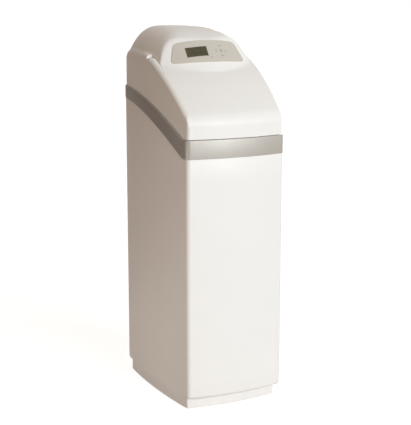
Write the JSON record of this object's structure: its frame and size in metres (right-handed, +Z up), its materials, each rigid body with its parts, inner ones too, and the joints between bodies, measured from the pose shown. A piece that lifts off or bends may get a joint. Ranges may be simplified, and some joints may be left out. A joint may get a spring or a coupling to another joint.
{
  "type": "cabinet water softener",
  "caption": "Upright cabinet water softener: white salt cabinet with a swept grey rim, hinged sloping salt lid, arched hood with display and keys, and valve, resin tank and bypass inside",
  "frame": {"origin": "middle of the cabinet in plan, on the floor", "axes": "+Z up, -Y to the front with the control panel, +X to the right seen from the front"},
  "size_m": [0.343, 0.5755, 1.116],
  "materials": {
    "white_shell": "satin moulded plastic",
    "band_grey": "satin grey plastic",
    "panel_beige": "matt printed plastic",
    "display_dark": "clear dark window",
    "display_body": "moulded plastic",
    "light_lens": "clear lens",
    "board_green": "solder mask",
    "steel": "plain steel",
    "black_plastic": "moulded plastic",
    "tank_wrap": "wound fibre over a plastic liner",
    "resin_beads": "loose beads",
    "natural_plastic": "natural plastic",
    "grey_plastic": "moulded plastic",
    "seal_rubber": "moulded rubber",
    "float_orange": "foamed plastic",
    "plunger_red": "moulded plastic"
  },
  "bodies": {
    "cabinet": {"cabinet": "white_shell", "rim": "band_grey", "hood": "white_shell", "hinge_pins": "steel", "faceplate": "panel_beige", "display_window": "display_dark", "display_module": "display_body", "status_light": "light_lens", "circuit_board": "board_green", "board_screws": "steel", "key_switches": "black_plastic", "resin_tank": "tank_wrap", "tank_boot": "black_plastic", "resin_bed": "resin_beads", "riser_tube": "natural_plastic", "lower_strainer": "natural_plastic", "upper_strainer": "natural_plastic", "valve_body": "black_plastic", "neck_seal": "seal_rubber", "neck_clamps": "grey_plastic", "clamp_screws": "steel", "valve_plate": "grey_plastic", "plate_screws": "steel", "drive_motor": "steel", "motor_screws": "steel", "position_switch": "black_plastic", "turbine_carrier": "natural_plastic", "nozzle_housing": "black_plastic", "nozzle_cap": "grey_plastic", "brine_tube": "natural_plastic", "brine_well": "natural_plastic", "well_cap": "band_grey", "brine_valve": "black_plastic", "bypass_body": "black_plastic", "port_clips": "steel", "port_adapters": "steel", "drain_elbow": "black_plastic", "overflow_elbow": "black_plastic", "overflow_grommet": "seal_rubber", "power_gland": "black_plastic"},
    "salt_lid": {"salt_lid": "white_shell", "hinge_arms": "band_grey"},
    "rotor": {"rotor_disc": "natural_plastic", "cam_gear": "natural_plastic"},
    "pinion": {"drive_pinion": "black_plastic"},
    "turbine": {"turbine": "natural_plastic"},
    "plunger": {"bypass_plunger": "plunger_red"},
    "float": {"brine_float": "float_orange"},
    "key_up": {"key_up": "panel_beige"},
    "key_down": {"key_down": "panel_beige"},
    "key_left": {"key_left": "panel_beige"},
    "key_right": {"key_right": "panel_beige"},
    "key_select": {"key_select": "panel_beige"}
  },
  "joints": [
    {"name": "lid_hinge", "type": "hinge", "parent": "cabinet", "child": "salt_lid", "pos_m": [0, 0.02, 1.02], "axis": [-1, 0, 0], "range_deg": [0, 90]},
    {"name": "key_up_press", "type": "slide", "parent": "cabinet", "child": "key_up", "axis": [0, 0.7934, -0.6088], "range_m": [0, 0.0005], "stiffness_N_per_m": 400, "springref_m": -0.002},
    {"name": "key_down_press", "type": "slide", "parent": "cabinet", "child": "key_down", "axis": [0, 0.7934, -0.6088], "range_m": [0, 0.0005], "stiffness_N_per_m": 400, "springref_m": -0.002},
    {"name": "key_left_press", "type": "slide", "parent": "cabinet", "child": "key_left", "axis": [0, 0.7934, -0.6088], "range_m": [0, 0.0005], "stiffness_N_per_m": 400, "springref_m": -0.002},
    {"name": "key_right_press", "type": "slide", "parent": "cabinet", "child": "key_right", "axis": [0, 0.7934, -0.6088], "range_m": [0, 0.0005], "stiffness_N_per_m": 400, "springref_m": -0.002},
    {"name": "key_select_press", "type": "slide", "parent": "cabinet", "child": "key_select", "axis": [0, 0.7934, -0.6088], "range_m": [0, 0.0005], "stiffness_N_per_m": 400, "springref_m": -0.002},
    {"name": "rotor_spin", "type": "hinge", "parent": "cabinet", "child": "rotor", "pos_m": [0, 0.13, 1], "axis": [0, 0, 1], "continuous": true},
    {"name": "pinion_spin", "type": "hinge", "parent": "cabinet", "child": "pinion", "pos_m": [0, 0.085, 1], "axis": [0, 0, 1], "continuous": true},
    {"name": "turbine_spin", "type": "hinge", "parent": "cabinet", "child": "turbine", "pos_m": [0.038, 0.2, 0.96255], "axis": [0, 1, 0], "continuous": true},
    {"name": "bypass_slide", "type": "slide", "parent": "cabinet", "child": "plunger", "axis": [1, 0, 0], "range_m": [0, 0.024]},
    {"name": "float_lift", "type": "slide", "parent": "cabinet", "child": "float", "axis": [0, 0, 1], "range_m": [0, 0.012]}
  ],
  "couplings": [
    {"joint": "pinion_spin", "follows": "rotor_spin", "ratio": -4}
  ]
}
